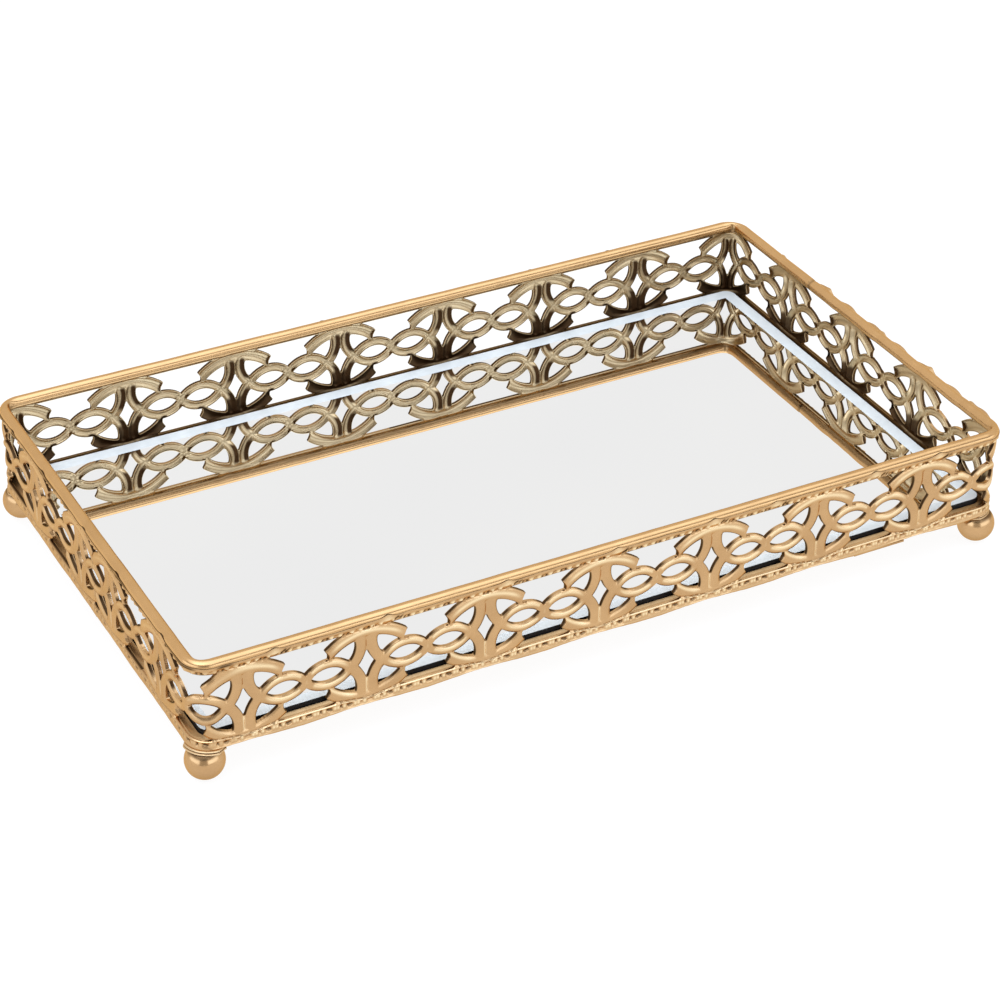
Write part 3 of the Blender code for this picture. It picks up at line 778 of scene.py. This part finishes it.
def make_pan(material):
    """Shallow pan with a rounded rim; the rim's top is the ledge round the glass."""
    low, high = box_mm("base_pan")
    outer = high[0] - HALF_X
    inner = GLASS_HIGH[0] - HALF_X + 0.28
    profile = (
        (outer, low[2]), (outer, high[2] - 0.90), (outer - 0.07, high[2] - 0.76),
        (outer - 0.22, high[2] - 0.66), (inner + 0.30, high[2] - 0.02), (inner + 0.12, high[2]),
        (inner, high[2] - 0.15), (inner, low[2] + PAN_THICKNESS),
    )
    stations = pan_stations()
    rings = []
    for offset, z in profile:
        x, y = rim_points(stations, offset)
        rings.append(np.column_stack([x, y, np.full(len(x), z)]))
    points = np.concatenate(rings)
    count, last = len(stations), len(profile) - 1
    index = np.arange(count)
    ahead = np.roll(index, -1)
    quads = np.concatenate([ring_quads(k * count, (k + 1) * count, index, ahead) for k in range(last)])
    groups = [(quads, 0), ((index + last * count)[None, :], 0), (index[::-1][None, :], 0)]
    # Painted shade on the back of the ledge.
    shade = 0.55 * smooth_step(HALF_Y - 9, HALF_Y - 7, points[:, 1])
    piece = make_mesh("pan", points, groups, [material], {"shade": shade}, 50.0)
    settle(piece, "pan_gold", "base_pan")


# ---------------------------------------------------------------- feet

FOOT_STEPS, FOOT_SIDES = 34, 56


def foot_profile(radius, stud_top):
    """Half section of a foot, as radius and height, from its stud down to its small flat rest."""
    profile = [(0.0, stud_top), (1.2, stud_top), (1.38, stud_top - 0.2)]
    profile += [(1.4, FOOT_TOP_Z + 0.35), (1.75, FOOT_TOP_Z + 0.02)]
    start = math.asin((FOOT_TOP_Z - radius) / radius)
    end = -math.acos(FOOT_REST_RADIUS / radius)
    for step in range(FOOT_STEPS):
        angle = start + (end - start) * step / FOOT_STEPS
        profile.append((radius * math.cos(angle), radius + radius * math.sin(angle)))
    return profile + [(FOOT_REST_RADIUS, 0.02), (FOOT_REST_RADIUS - 0.25, 0.0), (0.0, 0.0)]


def make_foot(corner, material):
    """Turned ball with a rivet neck, slightly flattened where it rests."""
    low, high = box_mm("foot_" + corner)
    centre_x, centre_y = (low[0] + high[0]) / 2, (low[1] + high[1]) / 2
    radius = (high[0] - low[0]) / 2 - 0.01
    turn = np.arange(FOOT_SIDES) * 2 * math.pi / FOOT_SIDES
    points, rings = [], []
    for r, z in foot_profile(radius, high[2]):
        if r == 0.0:
            rings.append(np.full(FOOT_SIDES, len(points)))
            points.append((centre_x, centre_y, z))
            continue
        rings.append(len(points) + np.arange(FOOT_SIDES))
        points += [(centre_x + r * math.cos(t), centre_y + r * math.sin(t), z) for t in turn]
    quads, triangles = [], []
    for upper, lower in zip(rings, rings[1:]):
        faces = strip(upper, lower, np.roll(lower, -1), np.roll(upper, -1))
        if upper[0] == upper[1]:
            triangles.append(faces[:, :3])
        elif lower[0] == lower[1]:
            triangles.append(faces[:, [0, 1, 3]])
        else:
            quads.append(faces)
    points = np.array(points)
    z = points[:, 2]
    # Painted shade under the tray at the neck, and painted shade darkening the ball towards the bottom.
    shade = 0.8 * smooth_step(FOOT_TOP_Z - 1.3, FOOT_TOP_Z, z) + 0.22 * smooth_step(7.0, 1.5, z)
    groups = [(np.concatenate(quads), 0), (np.concatenate(triangles), 0)]
    piece = make_mesh("ball_" + corner, points, groups, [material], {"shade": shade}, 55.0)
    settle(piece, "foot_gold", "foot_" + corner)


# ---------------------------------------------------------------- lugs

LUG_STEPS = 26


def make_lug(corner, middle, fullness, material):
    """Corner plate under the strip, with two rolled lips that show above the ball."""
    low, high = box_mm("foot_lug_" + corner)
    top, bottom = high[2], low[2]
    # Offset, height and tone of each point of the section, from its top inner end round the lips; tone
    # above 0 is painted shade, in the fold between the lips and underneath, and below 0 it is painted
    # highlight on the lips.
    section = (
        (-5.6, top - 0.05, 0.2), (1.2, top - 0.05, 0.0), (1.9, top - 0.12, 0.0), (2.35, top - 0.30, -0.4),
        (2.42, top - 0.50, -0.2), (2.15, top - 0.68, 0.5), (1.75, top - 0.78, 0.9), (2.30, top - 0.88, 0.3),
        (2.72, bottom + 0.42, -0.4), (2.78, bottom + 0.25, -0.3), (2.55, bottom + 0.08, 0.0),
        (2.1, bottom, 0.2), (-5.6, bottom, 0.3),
    )
    reach = CORNER_RADIUS * math.pi / 4 + 2.6
    along = np.linspace(-reach, reach, LUG_STEPS + 1)
    taper = smooth_step(reach, reach - 3.4, np.abs(along))
    lines = []
    for offset, z, _ in section:
        shaped = offset if offset < 0 else offset * (0.35 + 0.65 * taper) * fullness
        x, y = rim_points(middle + along, shaped)
        lines.append(np.column_stack([x, y, np.full(LUG_STEPS + 1, z)]))
    points = np.stack(lines, 1).reshape(-1, 3)
    index = np.arange((LUG_STEPS + 1) * len(section)).reshape(LUG_STEPS + 1, len(section))
    ahead = np.roll(index, -1, axis=1)
    quads = np.stack([index[:-1], ahead[:-1], ahead[1:], index[1:]], -1).reshape(-1, 4)
    caps = np.stack([index[0][::-1], index[-1]])
    shade = np.tile([tone for _, _, tone in section], LUG_STEPS + 1)
    piece = make_mesh("lug_" + corner, points, [(quads, 0), (caps, 0)], [material], {"shade": shade}, 60.0)
    settle(piece, "lug_gold", "foot_lug_" + corner)


# ---------------------------------------------------------------- materials

HIGHLIGHT_GOLD = (1.0, 0.80, 0.49, 1)  # gold of the painted highlights
GOLD_TINT = (0.90, 0.72, 0.50, 1)


class Graph:
    """A new material and short names for what its node tree needs."""

    def __init__(self, name):
        self.material = bpy.data.materials.new(name)
        self.material.use_nodes = True
        self.tree = self.material.node_tree
        self.shader = self.tree.nodes["Principled BSDF"]
        self.place = self.add("ShaderNodeTexCoord").outputs["Object"]

    def add(self, kind, inputs=None, **settings):
        node = self.tree.nodes.new(kind)
        for key, value in settings.items():
            setattr(node, key, value)
        for key, value in (inputs or {}).items():
            self.feed(node.inputs[key], value)
        return node

    def feed(self, socket, value):
        """Link an output to the socket, or set the socket to a plain value."""
        if isinstance(value, bpy.types.NodeSocket):
            self.tree.links.new(value, socket)
        else:
            socket.default_value = value

    def noise(self, scale, detail=3.0, rough=0.55):
        inputs = {"Vector": self.place, "Scale": scale, "Detail": detail, "Roughness": rough}
        return self.add("ShaderNodeTexNoise", inputs).outputs["Fac"]

    def ramp(self, value, low, high, to_low=0.0, to_high=1.0):
        inputs = {"Value": value, "From Min": low, "From Max": high, "To Min": to_low, "To Max": to_high}
        return self.add("ShaderNodeMapRange", inputs).outputs["Result"]

    def mix(self, share, first, second):
        node = self.add("ShaderNodeMix", data_type="RGBA")
        for number, value in zip((0, 6, 7), (share, first, second)):
            self.feed(node.inputs[number], value)
        return node.outputs[2]

    def math(self, operation, first, second):
        return self.add("ShaderNodeMath", {0: first, 1: second}, operation=operation).outputs[0]

    def bump(self, height, distance, strength, below=None):
        inputs = {"Height": height, "Distance": distance, "Strength": strength}
        if below is not None:
            inputs["Normal"] = below
        return self.add("ShaderNodeBump", inputs).outputs["Normal"]

    def finish(self, **inputs):
        for key, value in inputs.items():
            self.feed(self.shader.inputs[key.replace("_", " ")], value)
        return self.material


def plated(name, light, deep, dark, rough, grain=1.0, speckle=0.05):
    """Gold plate: two tones drifting slowly, with painted shade in brown and painted highlight in pale gold
    from the shade attribute.
    """
    g = Graph(name)
    tone = g.add("ShaderNodeAttribute", attribute_name="shade").outputs["Fac"]
    shade = g.ramp(tone, 0.0, 1.0)
    drift = g.ramp(g.noise(70.0, 2.0), 0.35, 0.65)
    fleck = g.ramp(g.noise(900.0, 4.0, 0.6), 0.40, 0.70)
    base = g.mix(drift, (*light, 1), (*deep, 1))
    base = g.mix(g.math("MULTIPLY", fleck, speckle), base, (*dark, 1))
    base = g.mix(g.math("MULTIPLY", g.ramp(tone, 0.0, -1.0), 0.90), base, HIGHLIGHT_GOLD)
    base = g.mix(g.math("MULTIPLY", shade, 0.97), base, (*dark, 1))
    smear = g.ramp(g.noise(220.0, 3.0), 0.3, 0.7, rough - 0.05, rough + 0.07)
    rougher = g.math("ADD", smear, g.math("MULTIPLY", shade, 0.22))
    waves = g.bump(g.noise(160.0, 2.0), 0.00007 * grain, 0.6)
    fine = g.bump(g.noise(1900.0, 3.0), 0.000010 * grain, 0.7, waves)
    return g.finish(Base_Color=base, Roughness=rougher, Metallic=1.0, Specular_Tint=GOLD_TINT, Normal=fine)


def silvered(name):
    """Mirror silver with the faintest haze and drift."""
    g = Graph(name)
    haze = g.ramp(g.noise(9.0, 2.0), 0.3, 0.7)
    base = g.mix(haze, (0.885, 0.890, 0.900, 1), (0.905, 0.908, 0.912, 1))
    smear = g.ramp(g.noise(40.0, 4.0), 0.45, 0.8, 0.006, 0.020)
    ripple = g.bump(g.noise(14.0, 1.0), 0.0000015, 0.3)
    return g.finish(Base_Color=base, Roughness=smear, Metallic=1.0, Normal=ripple)


def ground_glass(name):
    """Sloping border of the mirror: pale green-white with a fine mottle."""
    g = Graph(name)
    mottle = g.ramp(g.noise(260.0, 3.0), 0.35, 0.7)
    base = g.mix(mottle, (0.745, 0.775, 0.76, 1), (0.81, 0.835, 0.815, 1))
    smear = g.ramp(g.noise(500.0, 2.0), 0.3, 0.7, 0.08, 0.22)
    ripple = g.bump(g.noise(120.0, 2.0), 0.00002, 0.4)
    return g.finish(Base_Color=base, Roughness=smear, Metallic=0.0, IOR=1.52, Normal=ripple)


def painted_edge(name):
    """Black paint round the mirror's edge."""
    g = Graph(name)
    base = g.mix(g.noise(300.0), (0.004, 0.004, 0.005, 1), (0.014, 0.013, 0.013, 1))
    smear = g.ramp(g.noise(700.0), 0.3, 0.7, 0.35, 0.6)
    return g.finish(Base_Color=base, Roughness=smear, Normal=g.bump(g.noise(900.0), 0.00003, 0.5))


def backing_paint(name):
    """Dull black of the sheet under the mirror."""
    g = Graph(name)
    base = g.mix(g.noise(420.0, 4.0), (0.012, 0.011, 0.010, 1), (0.035, 0.033, 0.031, 1))
    smear = g.ramp(g.noise(800.0), 0.3, 0.7, 0.75, 0.92)
    return g.finish(Base_Color=base, Roughness=smear, Normal=g.bump(g.noise(1500.0), 0.00008, 0.6))


def paint_cad(node, material):
    """Give a carried-over CAD node its finished material."""
    mesh = frame["nodes"][node].data
    mesh.materials.clear()
    mesh.materials.append(material)


# ---------------------------------------------------------------- room, in metres

FLOOR_REACH = 14.0
FLOOR_Z = -0.0004
CAMERA_PLACE = (-0.398711, -0.745006, 0.562685)
CAMERA_TURN = (0.8540636, 0.4610884, -0.1187572, -0.2094505)
CAMERA_LENS = 103.19
CAMERA_SIDE = (-0.473, -0.881, 0.0)  # level direction from the tray to the camera
CAMERA_ACROSS = (0.881, -0.473, 0.0)


def make_floor():
    """Plain pale floor, lit from within, so that it takes only the faintest shadow."""
    mesh = bpy.data.meshes.new("floor")
    sides = ((-1, -1), (1, -1), (1, 1), (-1, 1))
    mesh.from_pydata([(x * FLOOR_REACH, y * FLOOR_REACH, FLOOR_Z) for x, y in sides], [], [(0, 1, 2, 3)])
    floor = bpy.data.objects.new("floor", mesh)
    bpy.context.scene.collection.objects.link(floor)
    g = Graph("pale_floor")
    base = g.mix(g.noise(3.0, 2.0), (0.10, 0.10, 0.10, 1), (0.11, 0.11, 0.11, 1))
    mesh.materials.append(g.finish(Base_Color=base, Roughness=0.9, Emission_Color=(1, 1, 1, 1),
                                   Emission_Strength=0.93, Specular_IOR_Level=0.0))


def make_world():
    """Pale studio: bright overhead, a bright low band in front under a dark shelf, dim at the camera."""
    world = bpy.data.worlds.new("studio")
    bpy.context.scene.world = world
    world.use_nodes = True
    tree = world.node_tree
    tree.nodes.clear()
    new, link = tree.nodes.new, tree.links.new
    direction = new("ShaderNodeTexCoord").outputs["Generated"]

    def dot(axis):
        node = new("ShaderNodeVectorMath")
        node.operation = "DOT_PRODUCT"
        link(direction, node.inputs[0])
        node.inputs[1].default_value = axis
        return node.outputs["Value"]

    def math_node(operation, a, b=0.0):
        node = new("ShaderNodeMath")
        node.operation = operation
        for socket, value in zip(node.inputs, (a, b)):
            if isinstance(value, bpy.types.NodeSocket):
                link(value, socket)
            else:
                socket.default_value = value
        return node.outputs[0]

    def smooth(value, low, high, to_low, to_high):
        node = new("ShaderNodeMapRange")
        node.interpolation_type = "SMOOTHSTEP"
        link(value, node.inputs["Value"])
        for key, number in zip(("From Min", "From Max", "To Min", "To Max"), (low, high, to_low, to_high)):
            node.inputs[key].default_value = number
        return node.outputs["Result"]

    def times(a, b):
        return math_node("MULTIPLY", a, b)

    up = dot((0.0, 0.0, 1.0))
    towards = dot(CAMERA_SIDE)
    sideways = math_node("ABSOLUTE", dot(CAMERA_ACROSS))
    front = smooth(towards, -0.15, 0.15, 0.0, 1.0)
    overhead = smooth(math_node("ADD", up, times(towards, 0.20)), 0.72, 0.88, 0.0, 1.35)
    boxes = times(times(front, smooth(up, 0.02, 0.14, 0.0, 1.0)), smooth(up, 0.38, 0.50, 1.0, 0.0))
    shelf = times(times(front, smooth(up, 0.42, 0.52, 0.0, 1.0)), smooth(up, 0.60, 0.70, 1.0, 0.0))
    room = math_node("ADD", 0.94, math_node("ADD", overhead, times(boxes, 1.15)))
    room = math_node("SUBTRACT", room, times(shelf, 0.60))
    slant = math_node("DIVIDE", sideways, math_node("MAXIMUM", towards, 0.01))
    dim = times(smooth(slant, 0.34, 0.50, 1.0, 0.0), smooth(towards, 0.0, 0.2, 0.0, 1.0))
    dim = times(dim, times(smooth(up, -0.02, 0.04, 0.0, 1.0), smooth(up, 0.66, 0.80, 1.0, 0.0)))
    strength = times(room, math_node("SUBTRACT", 1.0, times(dim, 0.72)))
    cool = smooth(strength, 1.0, 2.2, 0.0, 1.0)
    tint = new("ShaderNodeMix")
    tint.data_type = "RGBA"
    link(cool, tint.inputs[0])
    tint.inputs[6].default_value = (1.0, 0.995, 0.985, 1)
    tint.inputs[7].default_value = (0.88, 1.0, 1.20, 1)
    background = new("ShaderNodeBackground")
    link(tint.outputs[2], background.inputs["Color"])
    link(strength, background.inputs["Strength"])
    link(background.outputs[0], new("ShaderNodeOutputWorld").inputs["Surface"])


def add_light(name, where, size, power):
    """Soft square light aimed at the tray."""
    data = bpy.data.lights.new(name, "AREA")
    data.shape = "SQUARE"
    data.size = size
    data.energy = power
    light = bpy.data.objects.new(name, data)
    light.location = where
    light.rotation_mode = "QUATERNION"
    light.rotation_quaternion = (-light.location).to_track_quat("-Z", "Y")
    bpy.context.scene.collection.objects.link(light)


def make_camera():
    data = bpy.data.cameras.new("camera")
    data.sensor_width = 36.0
    data.lens = CAMERA_LENS
    data.clip_start = 0.01
    data.clip_end = 100.0
    camera = bpy.data.objects.new("camera", data)
    camera.location = CAMERA_PLACE
    camera.rotation_mode = "QUATERNION"
    camera.rotation_quaternion = Quaternion(CAMERA_TURN)
    bpy.context.scene.collection.objects.link(camera)
    bpy.context.scene.camera = camera


# ---------------------------------------------------------------- build

# Light tone, deep tone, dark tone of painted shade and flecks, and roughness; then the bumps' depth and the
# share of flecks.
GALLERY = plated(
    "gallery_gold_leaf", (0.62, 0.385, 0.185), (0.55, 0.335, 0.160), (0.030, 0.013, 0.005), 0.24)
INNER = plated("gallery_gold_inside", (0.56, 0.42, 0.24), (0.49, 0.36, 0.20), (0.055, 0.023, 0.008), 0.30)
# The cut-edge and hollow-side materials are dark copies of the gold: painted shade.
CUT_EDGE_SHADE = plated("gallery_cut_edge_painted_shade", (0.060, 0.030, 0.012), (0.035, 0.016, 0.006), (0.015, 0.007, 0.003), 0.40)
HOLLOW_SIDE_SHADE = plated(
    "gallery_hollow_side_painted_shade", (0.150, 0.085, 0.035), (0.080, 0.042, 0.016), (0.015, 0.007, 0.003), 0.42)
RAIL = plated(
    "rail_gold_polish", (0.66, 0.40, 0.18), (0.60, 0.36, 0.16), (0.05, 0.022, 0.008), 0.22, 0.08, 0.03)
FOOT = plated(
    "foot_gold_polish", (0.62, 0.385, 0.185), (0.55, 0.335, 0.160), (0.05, 0.022, 0.008), 0.18, 0.6, 0.06)
PAN = plated("pan_gold_satin", (0.58, 0.38, 0.19), (0.50, 0.32, 0.15), (0.04, 0.018, 0.007), 0.36)
LUG = plated("lug_gold_dull", (0.56, 0.35, 0.165), (0.48, 0.29, 0.135), (0.04, 0.018, 0.007), 0.40)

make_gallery([GALLERY, INNER, CUT_EDGE_SHADE, HOLLOW_SIDE_SHADE])
make_rail(RAIL)
make_mirror(silvered("mirror_silver"), ground_glass("mirror_bevel"), painted_edge("mirror_edge"))
for corner in ("front_left", "front_right", "back_left", "back_right"):
    make_foot(corner, FOOT)
# Along the path. Only the front-left plate's lips stand out in full.
for corner, middle in zip(("front_left", "front_right", "back_right", "back_left"), corner_stations()):
    make_lug(corner, middle, 1.0 if corner == "front_left" else 0.72, LUG)
for node in ("strap_front", "strap_back"):
    paint_cad(node, LUG)
make_pan(PAN)
paint_cad("backing_sheet", backing_paint("backing_board"))

make_floor()
make_world()
add_light("key", (-0.9, -0.5, 1.9), 1.1, 4.0)
make_camera()
bpy.context.scene.view_settings.view_transform = "Standard"
